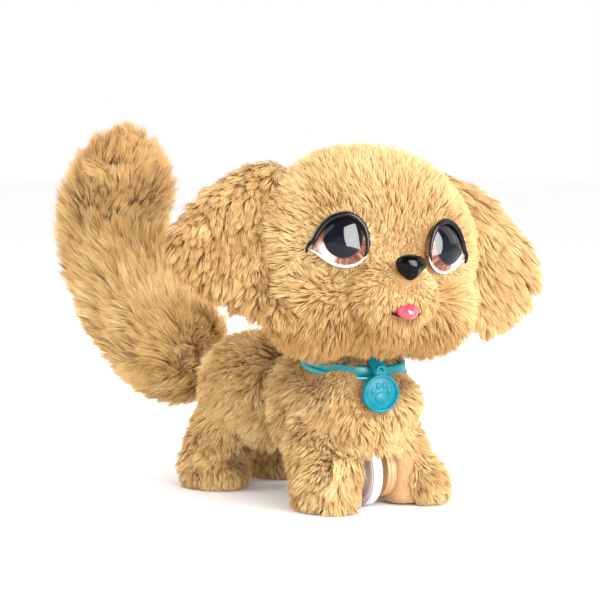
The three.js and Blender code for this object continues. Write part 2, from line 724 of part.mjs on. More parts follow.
function head() {
  const pieces = [
    named('head_plush', FUR, headPlush()),
    named('head_stuffing', STUFFING, headStuffing()),
    named('nose', BLACK_GLOSS, ellipsoid(NOSE.centre, NOSE.radii, 14, 8)),
    named('tongue', PINK, ellipsoid(TONGUE.centre, TONGUE.radii, 12, 8)),
  ];
  for (const [name, side] of SIDES) {
    pieces.push(named(`ear_${name}`, FUR, earShape(name, side)));
    pieces.push(named(`eye_socket_${name}`, BLACK_GLOSS, eyeSocket(side)));
    pieces.push(named(`eye_lens_${name}`, LENS, eyeLens(side)));
  }
  return aboutNeck(HEAD.base, pieces, HEAD_TILT, HEAD_SHIFT);
}

const puppy = new THREE.Group();
puppy.position.set(...ORIGIN_SHIFT);
puppy.add(frontHalf(), collar(), rearHalf(), head());

export default puppy;
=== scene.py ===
# The looks of the walking plush puppy: stitched skins covered in pile, glossy eyes, nose and
# tongue, a teal collar with its tag, and the plastic drive wheel between the front legs.
# Lengths are in millimetres in the frame of the half they belong to, and are placed in metres.

import json
import math

import bpy
import numpy as np
from mathutils import Matrix, Vector, kdtree


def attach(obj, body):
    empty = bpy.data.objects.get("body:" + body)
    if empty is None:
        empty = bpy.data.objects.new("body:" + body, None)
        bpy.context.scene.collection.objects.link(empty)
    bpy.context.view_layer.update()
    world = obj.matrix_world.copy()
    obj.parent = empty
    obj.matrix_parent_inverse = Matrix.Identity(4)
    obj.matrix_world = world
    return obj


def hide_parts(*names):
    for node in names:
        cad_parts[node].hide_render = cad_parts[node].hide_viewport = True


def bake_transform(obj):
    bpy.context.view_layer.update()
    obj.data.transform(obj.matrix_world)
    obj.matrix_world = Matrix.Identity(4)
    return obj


MM = 0.001
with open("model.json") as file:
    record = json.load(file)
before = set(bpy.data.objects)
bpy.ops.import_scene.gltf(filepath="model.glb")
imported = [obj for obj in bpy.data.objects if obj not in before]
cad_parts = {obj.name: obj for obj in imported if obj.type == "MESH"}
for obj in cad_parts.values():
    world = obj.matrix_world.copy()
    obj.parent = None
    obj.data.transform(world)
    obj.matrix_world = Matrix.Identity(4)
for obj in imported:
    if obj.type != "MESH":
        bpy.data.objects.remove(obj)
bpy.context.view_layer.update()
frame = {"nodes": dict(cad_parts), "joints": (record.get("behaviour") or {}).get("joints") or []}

# ---- Where the two halves and the head stand ----

NECK_Y = 17.0
NECK_TOP = 81.5
BEND = math.radians(22)
HEAD_TURN = math.radians(-7)
HEAD_TILT = math.radians(5)


def joint_point(name):
    joint = next(entry for entry in frame["joints"] if entry["name"] == name)
    return Vector(joint["pos_m"]) / MM


def shift(x, y, z):
    return Matrix.Translation((x, y, z))


AXLE = joint_point("wheel_spin")
PIN = joint_point("waist_sway")
FRONT = shift(AXLE.x, AXLE.y, 0)
REAR = shift(PIN.x, PIN.y, 0) @ Matrix.Rotation(BEND, 4, "Z")
TURN = shift(0, NECK_Y, 0) @ Matrix.Rotation(HEAD_TURN, 4, "Z")
TILT = Matrix.Rotation(HEAD_TILT, 4, "Y")
COLLAR = FRONT @ TURN @ shift(0, -NECK_Y, 0)
HEAD = FRONT @ TURN @ shift(0, 0, NECK_TOP) @ TILT @ shift(-3.5, -NECK_Y, -NECK_TOP)

# ---- Driving dimensions ----

SIDES = (("left", 1), ("right", -1))
BLADE_STEPS = (0.0, 0.55, 1.0)
BLADE_WIDTHS = (1.0, 0.8, 0.0)
FLOOR_GAP = 0.25
FRONT_LEG = (32.5, 0.0)
HIND_LEG = (27.0, 60.0)
BELLY = 31.0
REAR_BELLY = 27.0
TAIL_ROOT_Z = 72.0
HEAD_AT = (0.0, 9.2, 138.0)
HEAD_RADII = (66.0, 50.0, 57.0)
NOSE_AT = np.array([0.0, -57.0, 132.0])
TONGUE_AT = np.array([0.0, -56.5, 110.0])
EYE_AT = {1: (28.4, 143.4), -1: (31.0, 143.0)}
EYE_RADII = (14.6, 13.6)
SNOUT_AT = (0.0, 117.0)
SNOUT_RADII = (19.0, 20.0)
EYE_CHART = 40.0
TAG_AT = (-4.6, 63.0)
TAG_RADIUS = 10.5
WHEEL_HEIGHT = 18.0
GEAR_RIM_STEPS = 32
GEAR_RIM_ARC = (-90.0, 138.0)
HOOP_CORNERS = 16
LASH_COUNT = 260
EAR_MIDDLE = (70.0, 140.0)
TAIL_ROUTE = ((88.5, 64), (97, 64.6), (111, 71), (137, 88), (159, 114), (167, 142), (161.5, 168), (153, 191))

# ---- Studio dimensions ----

FLOOR_RADIUS = 7000.0
TOY_MIDDLE = (0, 0, 0.1)
VIEW = (-28.0, 4.5)
VIEW_DISTANCE = 1.3
VIEW_AIM = (0.0, 0.0, 0.1053)
VIEW_SHIFT = 0.0025
LENS_MM = 136.5

# ---- Small maths ----


def unit(vectors):
    lengths = np.linalg.norm(vectors, axis=-1, keepdims=True)
    return vectors / np.maximum(lengths, 1e-9)


def smooth(values, low, high):
    share = np.clip((values - low) / (high - low), 0, 1)
    return share * share * (3 - 2 * share)


def waves(points, size, seed):
    """A soft random field from -1 to 1, with bumps about size across."""
    rng = np.random.default_rng(seed)
    total = np.zeros(len(points))
    for _ in range(5):
        direction = unit(rng.normal(size=3))
        total += np.sin(points @ direction * (2 * math.pi / size) + rng.uniform(0, 6.3))
    return np.clip(total / 3.2, -1, 1)


def placed(points, matrix):
    table = np.array(matrix)
    return (points @ table[:3, :3].T + table[:3, 3]) * MM


def srgb(red, green, blue):
    def linear(value):
        value /= 255
        return value / 12.92 if value <= 0.04045 else ((value + 0.055) / 1.055) ** 2.4

    return (linear(red), linear(green), linear(blue), 1.0)


def closed_curve(points, count):
    """Count points on a smooth closed line through the given ones."""
    ring = np.array(points, float)
    where = np.arange(count) / count * len(ring)
    index = where.astype(int)
    t = (where - index)[:, None]
    a, b, c, d = (ring[(index + step) % len(ring)] for step in (-1, 0, 1, 2))
    return 0.5 * (2 * b + (c - a) * t + (2 * a - 5 * b + 4 * c - d) * t**2 + (3 * b - a - 3 * c + d) * t**3)


def open_curve(points, count):
    """Count points on a smooth open line from the first given point to the last."""
    line = np.array(points, float)
    line = np.vstack([2 * line[0] - line[1], line, 2 * line[-1] - line[-2]])
    where = np.linspace(0, len(points) - 1 - 1e-6, count)
    index = where.astype(int)
    t = (where - index)[:, None]
    a, b, c, d = (line[index + step] for step in (0, 1, 2, 3))
    return 0.5 * (2 * b + (c - a) * t + (2 * a - 5 * b + 4 * c - d) * t**2 + (3 * b - a - 3 * c + d) * t**3)


def turns(sides):
    """Even angles once round."""
    return np.linspace(0, 2 * math.pi, sides, endpoint=False)


# ---- Shapes: each is (points, faces) ----


def loft(rings):
    """A closed skin over rings of equal size, with a fan at each end."""
    rings = np.array(rings, float)
    count, sides = rings.shape[:2]
    points = np.vstack([rings.reshape(-1, 3), rings[0].mean(0), rings[-1].mean(0)])
    first, last = count * sides, count * sides + 1
    faces = []
    for side in range(sides):
        after = (side + 1) % sides
        faces.append((first, after, side))
        faces.append((last, (count - 1) * sides + side, (count - 1) * sides + after))
        for ring in range(count - 1):
            a, b = ring * sides, (ring + 1) * sides
            faces.append((a + side, a + after, b + after, b + side))
    return points, faces


def ball(centre, radii, rings=24, sides=40):
    angles = turns(sides)
    levels = np.linspace(-math.pi / 2, math.pi / 2, rings + 1)[1:-1]
    stack = []
    for level in levels:
        wide = math.cos(level)
        high = np.full(sides, math.sin(level))
        stack.append(np.column_stack([np.cos(angles) * wide, np.sin(angles) * wide, high]))
    points, faces = loft(stack)
    points[-2] = (0, 0, -1)
    points[-1] = (0, 0, 1)
    return points * np.array(radii) + np.array(centre), faces


def rounded_square(sides, power=0.5):
    """Points around a unit square whose corners are round. A power of 1 gives a circle."""
    angles = turns(sides)
    across, deep = np.cos(angles), np.sin(angles)
    return np.sign(across) * np.abs(across) ** power, np.sign(deep) * np.abs(deep) ** power


def post(levels, side=1, sides=32, power=1.0):
    """An upright limb. Levels are (z, x, y, half width in X, half width in Y)."""
    across, deep = rounded_square(sides, power)
    rings = []
    for z, x, y, half_x, half_y in levels:
        rings.append(np.column_stack([(x + half_x * across) * side, y + half_y * deep, np.full(sides, z)]))
    return loft(rings)


def tube(path, radii, sides=12, closed=False):
    """A round rod along a path, with a radius at each point of it."""
    path = np.array(path, float)
    radii = np.broadcast_to(radii, len(path))
    if closed:
        tangents = unit(np.roll(path, -1, 0) - np.roll(path, 1, 0))
    else:
        tangents = unit(np.gradient(path, axis=0))
    spoke = unit(np.cross(tangents[0], (0.31, 0.17, 0.93)))
    angles = turns(sides)
    rings = []
    for point, tangent, radius in zip(path, tangents, radii):
        spoke = unit(spoke - tangent * (spoke @ tangent))
        other = np.cross(tangent, spoke)
        rings.append(point + radius * (np.outer(np.cos(angles), spoke) + np.outer(np.sin(angles), other)))
    if closed:
        rings.append(rings[0])
    return loft(rings)


def together(*shapes):
    points, faces, start = [], [], 0
    for shape_points, shape_faces in shapes:
        points.append(shape_points)
        faces += [tuple(corner + start for corner in face) for face in shape_faces]
        start += len(shape_points)
    return np.vstack(points), faces


# ---- Objects ----


def in_scene(name, data):
    obj = bpy.data.objects.new(name, data)
    bpy.context.scene.collection.objects.link(obj)
    return obj


def mesh_object(name, shape, matrix, look, body):
    """Places a shape as an object that rides on a body."""
    points, faces = shape
    mesh = bpy.data.meshes.new(name)
    mesh.from_pydata(placed(points, matrix).tolist(), [], faces)
    mesh.polygons.foreach_set("use_smooth", [True] * len(mesh.polygons))
    mesh.materials.append(look)
    obj = in_scene(name, mesh)
    if body:
        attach(obj, body)
    return obj


def merged(shapes, cell, rounds):
    """One smooth closed skin over several overlapping shapes, as (points, faces)."""
    points, faces = together(*shapes)
    mesh = bpy.data.meshes.new("merging")
    mesh.from_pydata(points.tolist(), [], faces)
    obj = in_scene("merging", mesh)
    remesh = obj.modifiers.new("remesh", "REMESH")
    remesh.mode = "VOXEL"
    remesh.voxel_size = cell
    soften = obj.modifiers.new("soften", "SMOOTH")
    soften.factor = 0.5
    soften.iterations = rounds
    bpy.context.view_layer.update()
    shape = obj.evaluated_get(bpy.context.evaluated_depsgraph_get()).to_mesh()
    coordinates = np.empty(len(shape.vertices) * 3)
    shape.vertices.foreach_get("co", coordinates)
    result = coordinates.reshape(-1, 3), [tuple(polygon.vertices) for polygon in shape.polygons]
    bpy.data.objects.remove(obj)
    bpy.data.meshes.remove(mesh)
    return result


def without(shape, inside):
    """Leaves out the faces whose middle is inside."""
    points, faces = shape
    middles = np.array([points[list(face)].mean(0) for face in faces])
    gone = inside(middles)
    return points, [face for face, drop in zip(faces, gone) if not drop]


# ---- Pile: flat tapering blades standing on a skin ----


def scatter(shape, count, rng):
    """Random places on a skin, spread evenly, with the skin's smooth normals."""
    points, faces = shape
    corners = []
    for face in faces:
        corners += [(face[0], face[i], face[i + 1]) for i in range(1, len(face) - 1)]
    corners = np.array(corners)
    a, b, c = (points[corners[:, i]] for i in range(3))
    cross = np.cross(b - a, c - a)
    normals = np.zeros_like(points)
    for i in range(3):
        np.add.at(normals, corners[:, i], cross)
    normals = unit(normals)
    areas = np.linalg.norm(cross, axis=1)
    chosen = rng.choice(len(corners), count, p=areas / areas.sum())
    first, second = rng.random(count), rng.random(count)
    flip = first + second > 1
    first[flip], second[flip] = 1 - first[flip], 1 - second[flip]
    share = np.column_stack([1 - first - second, first, second])
    places = np.einsum("ij,ijk->ik", share, points[corners[chosen]])
    directions = unit(np.einsum("ij,ijk->ik", share, normals[corners[chosen]]))
    return places, directions


def nearest(points, centres):
    tree = kdtree.KDTree(len(centres))
    for index, centre in enumerate(centres):
        tree.insert(centre, index)
    tree.balance()
    return np.array([tree.find(point)[1] for point in points])


def group_means(values, groups, count):
    sums = np.zeros((count, values.shape[1]))
    np.add.at(sums, groups, values)
    sizes = np.bincount(groups, minlength=count)[:, None]
    return sums / np.maximum(sizes, 1)


def clumps(places, count, tuft, lock, rng):
    """Sorts the blades into wide locks and small tufts: the lock and the tuft of each, and how many tufts."""
    locks = nearest(places, places[rng.choice(count, max(8, int(count * 0.8 / lock**2)))])
    tufts_count = max(20, int(count * 0.6 / tuft**2))
    tufts = nearest(places, places[rng.choice(count, tufts_count)])
    return locks, tufts, tufts_count


def bent_blades(roots, start, end, gather, spread):
    """The points of each blade: a pair at the root, a pair at the bend and one at the tip."""
    points = np.empty((len(roots), 5, 3))
    for step, (t, share) in enumerate(zip(BLADE_STEPS, BLADE_WIDTHS)):
        middle = roots + start * (t - t * t / 2) + end * (t * t / 2) + gather * t * t
        points[:, 2 * step] = middle - spread * share
        if step < 2:
            points[:, 2 * step + 1] = middle + spread * share
    return points.reshape(-1, 3)


def pile(
    name, shape, matrix, body, count, style, seed,
    tuft=3.4, lock=12.0, pull=0.5, wild=0.25, width=0.62, contrast=1.0,
):
    """Pile on a skin.

    The style gives, place by place, the length, the comb direction, how upright the pile stands,
    its tone and whether it grows there at all.
    """
    rng = np.random.default_rng(seed)
    places, normals = scatter(shape, count, rng)
    *growth, keep = style(places, normals)
    length, comb, stand, tone = (part[keep] for part in growth)
    places, normals = places[keep], normals[keep]
    count = len(places)

    locks, tufts, tufts_count = clumps(places, count, tuft, lock, rng)
    lock_lean = rng.normal(size=(locks.max() + 1, 3))[locks]
    lock_tone = rng.normal(size=locks.max() + 1)[locks]
    tuft_tone = rng.normal(size=tufts_count)[tufts]
    tuft_length = rng.uniform(0.84, 1.14, tufts_count)[tufts]

    flow = comb + wild * lock_lean + 0.5 * wild * rng.normal(size=(count, 3))
    flow = unit(flow - normals * np.sum(flow * normals, 1, keepdims=True))
    rise = stand[:, None]
    start = unit(normals * (rise + 0.25) + flow * (1 - rise))
    end = unit(normals * (rise - 0.1) + flow * (1.1 - rise) + 0.12 * rng.normal(size=(count, 3)))
    reach = (length * tuft_length * rng.uniform(0.8, 1.12, count))[:, None]
    roots = places - normals * 0.6
    tips = roots + reach * (start + end) / 2
    gather = pull * (group_means(tips, tufts, tufts_count)[tufts] - tips)

    side = unit(np.cross(normals, start))
    twist = rng.uniform(-0.9, 0.9, count)[:, None]
    side = side * np.cos(twist) + np.cross(start, side) * np.sin(twist)
    half_width = 0.5 * width * rng.uniform(0.7, 1.2, count)[:, None]

    points = placed(bent_blades(roots, reach * start, reach * end, gather, half_width * side), matrix)
    points[:, 2] = np.maximum(points[:, 2], FLOOR_GAP * MM)

    mottle = 0.09 * lock_tone + 0.1 * tuft_tone + 0.08 * rng.normal(size=count)
    tone = np.clip(0.5 + tone + contrast * mottle, 0.03, 0.97)
    return blades_object(name, points, tone, body)


def blades_object(name, points, tone, body):
    """Builds the mesh of all blades: a quad and a tip each, tone across U and root to tip up V."""
    count = len(tone)
    corner = np.array([0, 1, 3, 2, 2, 3, 4])
    loops = (np.arange(count)[:, None] * 5 + corner).ravel()
    starts = (np.arange(count)[:, None] * 7 + np.array([0, 4])).ravel()
    mesh = bpy.data.meshes.new(name)
    mesh.vertices.add(count * 5)
    mesh.vertices.foreach_set("co", points.astype(np.float32).ravel())
    mesh.loops.add(len(loops))
    mesh.loops.foreach_set("vertex_index", loops.astype(np.int32))
    mesh.polygons.add(len(starts))
    mesh.polygons.foreach_set("loop_start", starts.astype(np.int32))
    mesh.polygons.foreach_set("use_smooth", np.ones(len(starts), bool))
    mesh.update(calc_edges=True)
    across = np.array([-1, 1, -1, 1, 0])[corner] * 0.012
    along = np.array([0, 0, 0.55, 0.55, 1])[corner]
    chart = np.empty((count, 7, 2))
    chart[:, :, 0] = tone[:, None] + across
    chart[:, :, 1] = along
    mesh.uv_layers.new(name="OFBake").data.foreach_set("uv", chart.astype(np.float32).ravel())
    mesh.materials.append(LOOKS["pile"])
    obj = in_scene(name, mesh)
    if body:
        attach(obj, body)
    return obj


# ---- Materials ----


class Look:
    """A material being wired, one node at a time."""

    def __init__(self, name, roughness, **settings):
        self.material = bpy.data.materials.new(name)
        self.material.use_nodes = True
        self.nodes = self.material.node_tree.nodes
        self.links = self.material.node_tree.links
        self.shader = self.nodes["Principled BSDF"]
        self.shader.inputs["Roughness"].default_value = roughness
        for key, value in settings.items():
            self.shader.inputs[key.replace("_", " ")].default_value = value

    def put(self, socket, value):
        if hasattr(value, "is_linked"):
            self.links.new(value, socket)
        else:
            socket.default_value = value

    def math(self, operation, *values):
        node = self.nodes.new("ShaderNodeMath")
        node.operation = operation
        for socket, value in zip(node.inputs, values):
            self.put(socket, value)
        return node.outputs[0]

    def between(self, value, low, high):
        node = self.nodes.new("ShaderNodeMapRange")
        node.interpolation_type = "SMOOTHSTEP"
        self.put(node.inputs["Value"], value)
        node.inputs["From Min"].default_value = low
        node.inputs["From Max"].default_value = high
        return node.outputs["Result"]

    def mix(self, factor, first, second):
        node = self.nodes.new("ShaderNodeMix")
        node.data_type = "RGBA"
        self.put(node.inputs["Factor"], factor)
        self.put(node.inputs[6], first)
        self.put(node.inputs[7], second)
        return node.outputs[2]

    def ramp(self, value, *stops):
        node = self.nodes.new("ShaderNodeValToRGB")
        elements = node.color_ramp.elements
        while len(elements) < len(stops):
            elements.new(0.5)
        for element, (position, colour) in zip(elements, stops):
            element.position = position
            element.color = colour
        self.put(node.inputs["Fac"], value)
        return node.outputs["Color"]

    def chart(self):
        node = self.nodes.new("ShaderNodeUVMap")
        node.uv_map = "OFBake"
        split = self.nodes.new("ShaderNodeSeparateXYZ")
        self.links.new(node.outputs[0], split.inputs[0])
        return split.outputs["X"], split.outputs["Y"]

    def object_place(self):
        return self.nodes.new("ShaderNodeTexCoord").outputs["Object"]

    def noise(self, scale, detail=3.0, place=None):
        node = self.nodes.new("ShaderNodeTexNoise")
        node.inputs["Scale"].default_value = scale
        node.inputs["Detail"].default_value = detail
        self.links.new(place or self.object_place(), node.inputs["Vector"])
        return node.outputs["Fac"]

    def bump(self, height, strength, distance):
        node = self.nodes.new("ShaderNodeBump")
        node.inputs["Strength"].default_value = strength
        node.inputs["Distance"].default_value = distance
        self.put(node.inputs["Height"], height)
        self.links.new(node.outputs[0], self.shader.inputs["Normal"])

    def colour(self, value):
        self.put(self.shader.inputs["Base Color"], value)
        return self.material


def pile_look():
    """Dark at the root and pale at the tip, from amber to cream with the tone of the blade."""
    look = Look("golden_pile", 0.62, Sheen_Weight=0.25, Sheen_Roughness=0.5, Specular_IOR_Level=0.25)
    tone, along = look.chart()
    root = look.ramp(tone, (0, srgb(156, 114, 58)), (0.5, srgb(206, 165, 99)), (1, srgb(230, 194, 134)))
    tip = look.ramp(
        tone,
        (0, srgb(196, 148, 80)), (0.35, srgb(231, 192, 125)),
        (0.65, srgb(244, 212, 151)), (1, srgb(254, 234, 190)),
    )
    return look.colour(look.mix(look.between(along, 0.05, 0.8), root, tip))


def backing_look():
    """The woven backing that the pile grows from."""
    look = Look("knitted_backing", 0.95)
    fine = look.noise(900, 2)
    look.bump(fine, 0.4, 0.0004)
    return look.colour(look.ramp(fine, (0.3, srgb(158, 116, 62)), (0.7, srgb(190, 146, 86))))


def velour_look():
    """Short brushed velour, on the soles and the insides of the front legs."""
    look = Look("velour", 0.9, Sheen_Weight=0.3)
    grain = look.noise(1400, 3)
    look.bump(grain, 0.5, 0.0003)
    return look.colour(look.ramp(grain, (0.3, srgb(176, 130, 80)), (0.7, srgb(214, 170, 116))))


def moulded_look(name, low, high, roughness, grain=600, **settings):
    """Moulded plastic or rubber: a fine grain with a slight change of colour."""
    look = Look(name, roughness, **settings)
    cloud = look.noise(40, 4)
    look.bump(look.noise(grain, 2), 0.15, 0.0002)
    return look.colour(look.ramp(cloud, (0.3, srgb(*low)), (0.7, srgb(*high))))


def eye_look():
    """A painted eye behind the clear dome. The chart counts outwards from the nose side."""
    look = Look("painted_eye", 0.03, Specular_IOR_Level=0.3)
    across, up = look.chart()
    x, y = (look.math("MULTIPLY", look.math("SUBTRACT", part, 0.5), EYE_CHART) for part in (across, up))
    x = look.math("ADD", x, 1.2)
    y = look.math("SUBTRACT", y, 0.7)
    radius = look.math("SQRT", look.math("ADD", look.math("MULTIPLY", x, x), look.math("MULTIPLY", y, y)))
    ray = look.nodes.new("ShaderNodeCombineXYZ")
    look.put(ray.inputs[0], look.math("DIVIDE", x, radius))
    look.put(ray.inputs[1], look.math("DIVIDE", y, radius))
    look.put(ray.inputs[2], look.math("MULTIPLY", radius, 0.05))
    streaks = look.noise(5.5, 4, ray.outputs[0])
    iris = look.ramp(
        streaks,
        (0.3, srgb(96, 54, 40)), (0.5, srgb(140, 90, 68)),
        (0.62, srgb(176, 122, 96)), (0.75, srgb(206, 156, 122)),
    )
    spot_place = look.nodes.new("ShaderNodeCombineXYZ")
    look.put(spot_place.inputs[0], x)
    look.put(spot_place.inputs[1], y)
    spots = look.nodes.new("ShaderNodeTexVoronoi")
    spots.inputs["Scale"].default_value = 0.36
    look.links.new(spot_place.outputs[0], spots.inputs["Vector"])
    iris = look.mix(look.between(spots.outputs["Distance"], 0.2, 0.06), iris, srgb(222, 186, 128))
    iris = look.mix(look.between(radius, 11.2, 9.8), iris, srgb(74, 40, 30))
    # A pale crescent of painted highlight low on the outer side of the iris.
    toward = look.math("ADD", look.math("MULTIPLY", x, 0.68), look.math("MULTIPLY", y, -0.73))
    share = look.math("DIVIDE", toward, radius)
    crescent_highlight = look.math("MULTIPLY", look.between(share, 0.8, 0.95), look.between(radius, 15.4, 12.4))
    iris = look.mix(look.math("MULTIPLY", crescent_highlight, 0.9), iris, srgb(238, 216, 214))
    shade = look.math("ADD", y, look.math("MULTIPLY", radius, 0.15))
    iris = look.mix(look.between(shade, 1.5, 8.0), iris, srgb(34, 24, 22))
    pupil = look.between(radius, 10.2, 9.8)
    return look.colour(look.mix(pupil, iris, srgb(10, 12, 20)))


def tag_look():
    """Satin teal plastic with a faint cloud of lighter teal."""
    look = Look("teal_tag", 0.42, Specular_IOR_Level=0.15)
    cloud = look.noise(160, 3)
    look.bump(look.noise(900, 2), 0.1, 0.0002)
    return look.colour(look.ramp(cloud, (0.3, srgb(0, 116, 134)), (0.7, srgb(4, 140, 158))))


def floor_look():
    look = Look("paper_floor", 0.85)
    return look.colour(look.ramp(look.noise(3, 2), (0.3, srgb(253, 253, 253)), (0.7, srgb(255, 255, 255))))


LOOKS = {
    "pile": pile_look(),
    "backing": backing_look(),
    "velour": velour_look(),
    "eye": eye_look(),
    "tag": tag_look(),
    "black": moulded_look("gloss_black", (6, 6, 8), (14, 14, 17), 0.25, Specular_IOR_Level=0.25),
    "white_rim": moulded_look("eye_white_rim", (246, 240, 238), (255, 252, 250), 0.2),
    "nose": moulded_look("nose_black", (2, 2, 3), (7, 7, 9), 0.12, grain=500, Specular_IOR_Level=0.14),
    "tongue": moulded_look("tongue_pink", (214, 62, 84), (236, 92, 112), 0.18, grain=900, Coat_Weight=0.6),
    "mouth": moulded_look("mouth_lining", (44, 18, 12), (66, 30, 20), 0.9, Specular_IOR_Level=0.1),
    "collar": moulded_look(
        "collar_teal", (0, 128, 140), (8, 148, 160), 0.36, grain=1200, Specular_IOR_Level=0.3
    ),
    "piping": moulded_look("piping_teal", (6, 142, 154), (24, 166, 176), 0.3, grain=1200),
    "wheel": moulded_look("wheel_white", (226, 222, 240), (242, 240, 250), 0.25),
    "tread": moulded_look("tread_rubber", (206, 202, 222), (224, 220, 236), 0.55),
    "grey": moulded_look("grey_plastic", (122, 124, 128), (142, 145, 150), 0.5),
    "tan": moulded_look("tan_plastic", (190, 146, 94), (206, 162, 108), 0.6),
    "dark": moulded_look("dark_plastic", (26, 26, 30), (40, 40, 44), 0.4),
    "floor": floor_look(),
}

# ---- Front half ----

NECK_LEVELS = ((55, 21), (68, 21), (76, 21), (81, 23), (84, 21))
LEFT_LEG_LEVELS = (
    (1.5, 29, -2, 11.5, 16), (6, 29.5, -3, 12.5, 18), (12, 29, -3, 12.5, 17.5), (19, 27, -1, 11, 15.5),
    (27, 23.5, 2, 9.5, 14), (38, 19, 5, 9.5, 14), (52, 15, 8, 9, 13),
)
RIGHT_LEG_LEVELS = (
    (1.5, 26.5, -4, 16, 18), (6, 26, -5.5, 18.5, 20.5), (12, 26, -5.5, 18.5, 20.5), (19, 26.5, -3, 17.5, 19),
    (27, 27.5, 2, 16, 17), (38, 28, 8, 13.5, 16), (52, 24, 12, 11, 14),
)
HIND_LEG_LEVELS = (
    (1.5, 27, 62, 12.5, 16.5), (6, 27, 61.5, 14, 18.5), (12, 27, 62, 14, 18.5), (19, 26.5, 63, 12.5, 16),
    (28, 25, 62, 12, 15), (40, 21, 58, 12, 15), (54, 16, 54, 11, 14),
)


def lifted(shape, floor, leg, reach):
    """Flattens the belly of a skin between and around its legs."""
    points, faces = shape
    points = points.copy()
    away = np.hypot(np.abs(points[:, 0]) - leg[0], (points[:, 1] - leg[1]) / 1.2)
    free = away > reach
    points[free, 2] = np.maximum(points[free, 2], floor)
    return points, faces


def front_skin():
    parts = [
        ball((-2, 28, 49), (36.5, 31, 31.5)),
        ball((0, 9, 49), (21, 24.5, 32)),
        ball((9, 10, 50), (15.5, 23, 32)),
        ball((-12, 9, 50), (20, 24, 32)),
        ball((9.5, 0, 58), (15, 19, 16)),
        post([(z, 0, NECK_Y, radius, radius) for z, radius in NECK_LEVELS]),
        post(LEFT_LEG_LEVELS),
        post(RIGHT_LEG_LEVELS, side=-1),
    ]
    skin = lifted(merged(parts, 2.0, 8), BELLY, FRONT_LEG, 19)
    return without(skin, lambda at: (abs(at[:, 0]) < 15) & (abs(at[:, 1]) < 20.5) & (at[:, 2] < 34))


def front_growth(places, normals):
    x, y, z = places.T
    inward = np.abs(x) < FRONT_LEG[0] - 5
    on_leg = (np.hypot(np.abs(x) - FRONT_LEG[0], y) < 21) & (z < 46)
    panel = on_leg & inward & (z < 38) & (np.sign(x) * normals[:, 0] < -0.5) & (y > -13)
    paw = on_leg & (z < 14)
    comb = np.column_stack([0.25 * np.sign(x), np.full(len(x), -0.12), np.full(len(x), -1.0)])
    comb[paw] += np.column_stack([0.7 * normals[paw, 0], 0.7 * normals[paw, 1] - 0.3, np.zeros(paw.sum())])
    length = np.where(on_leg, 9.0, 10.5)
    length = np.where(paw, 7.5, length)
    from_neck = np.hypot(x, y - NECK_Y)
    near_collar = smooth(from_neck, 37, 29) * smooth(z, 58, 66)
    length = length * (1 - 0.62 * near_collar)
    behind_tag = smooth(np.hypot(x - TAG_AT[0], z - TAG_AT[1]), 19, 11) * (y < 0)
    length = length * (1 - 0.7 * behind_tag)
    under = (normals[:, 2] < -0.6) & (z < BELLY + 2)
    workings = under & (np.abs(x) < 16.5) & (y < 33)
    length = np.where(under, np.minimum(length, 6), length)
    # The pile is a little lighter towards the paws, and darker on the underside by painted shade.
    tone = 0.1 * waves(places, 34, 5) + 0.05 * smooth(z, 60, 20) - 0.12 * under
    ruff = (z > 76.5) & (from_neck < 27)
    spread = unit(np.column_stack([x, y - NECK_Y, np.zeros(len(x))]))
    comb[ruff] = 1.4 * spread[ruff] + np.array([0, 0, -0.5])
    length = np.where(ruff, 7.0, length)
    inside_collar = (from_neck < 28) & (z > 67) & ~ruff
    keep = ~workings & ~inside_collar & ~panel & (z > 1.2)
    return length, comb, np.full(len(x), 0.5), tone, keep


def velour_panel(side):
    """The smooth velour inside of a front leg, standing just proud of the leg's own skin."""
    levels, inner = (LEFT_LEG_LEVELS, 9.4) if side > 0 else (RIGHT_LEG_LEVELS, 8.6)
    rings = []
    for z, x, y, wide, deep in levels[:6]:
        outer = x + wide - 4
        front, back = (-14.2 if z < 30 else y - deep + 4), 14.2
        rings.append((z, (inner + outer) / 2, (front + back) / 2, (outer - inner) / 2, (back - front) / 2))
    return post(rings, side=side, power=0.6)


def gear_rim():
    """The rim in front of the axle gear, from the gear guard to the leg: an arc's start and sweep."""
    near, far, outer, inner = 5.8, 9.6, 13.6, 13.1
    points, faces = [], []
    for step in range(GEAR_RIM_STEPS + 1):
        angle = math.radians(GEAR_RIM_ARC[0] + GEAR_RIM_ARC[1] * step / GEAR_RIM_STEPS)
        for x, radius in ((near, outer), (far, outer), (far, inner), (near, inner)):
            points.append((x, -radius * math.cos(angle), WHEEL_HEIGHT + radius * math.sin(angle)))
    for step in range(GEAR_RIM_STEPS):
        for corner in range(4):
            a, b = 4 * step + corner, 4 * step + (corner + 1) % 4
            faces.append((a, b, b + 4, a + 4))
    last = 4 * GEAR_RIM_STEPS
    faces += [(3, 2, 1, 0), (last, last + 1, last + 2, last + 3)]
    return np.array(points), faces


# ---- Waist ----


def waist_skin():
    skin = merged([ball((0, 49, 54), (31, 25, 28))], 2.4, 4)
    return lifted(skin, BELLY + 1.5, (500.0, 0.0), 1)


def waist_growth(places, normals):
    count = len(places)
    comb = np.column_stack([0.15 * np.sign(places[:, 0]), np.full(count, 0.35), np.full(count, -0.8)])
    under = normals[:, 2] < -0.7
    # Darker on the underside: painted shade.
    tone = 0.1 * waves(places, 34, 6) - 0.12 * under
    length = np.where(under, 5.0, 9.5)
    return length, comb, np.full(count, 0.5), tone, np.ones(count, bool)


# ---- Rear half ----


def rear_skin():
    parts = [ball((0, 50, 52), (30.5, 31, 32)), ball((0, 40, 52), (29, 26, 31))]
    for _, side in SIDES:
        parts.append(post(HIND_LEG_LEVELS, side=side))
    return lifted(merged(parts, 2.0, 8), REAR_BELLY, HIND_LEG, 20)


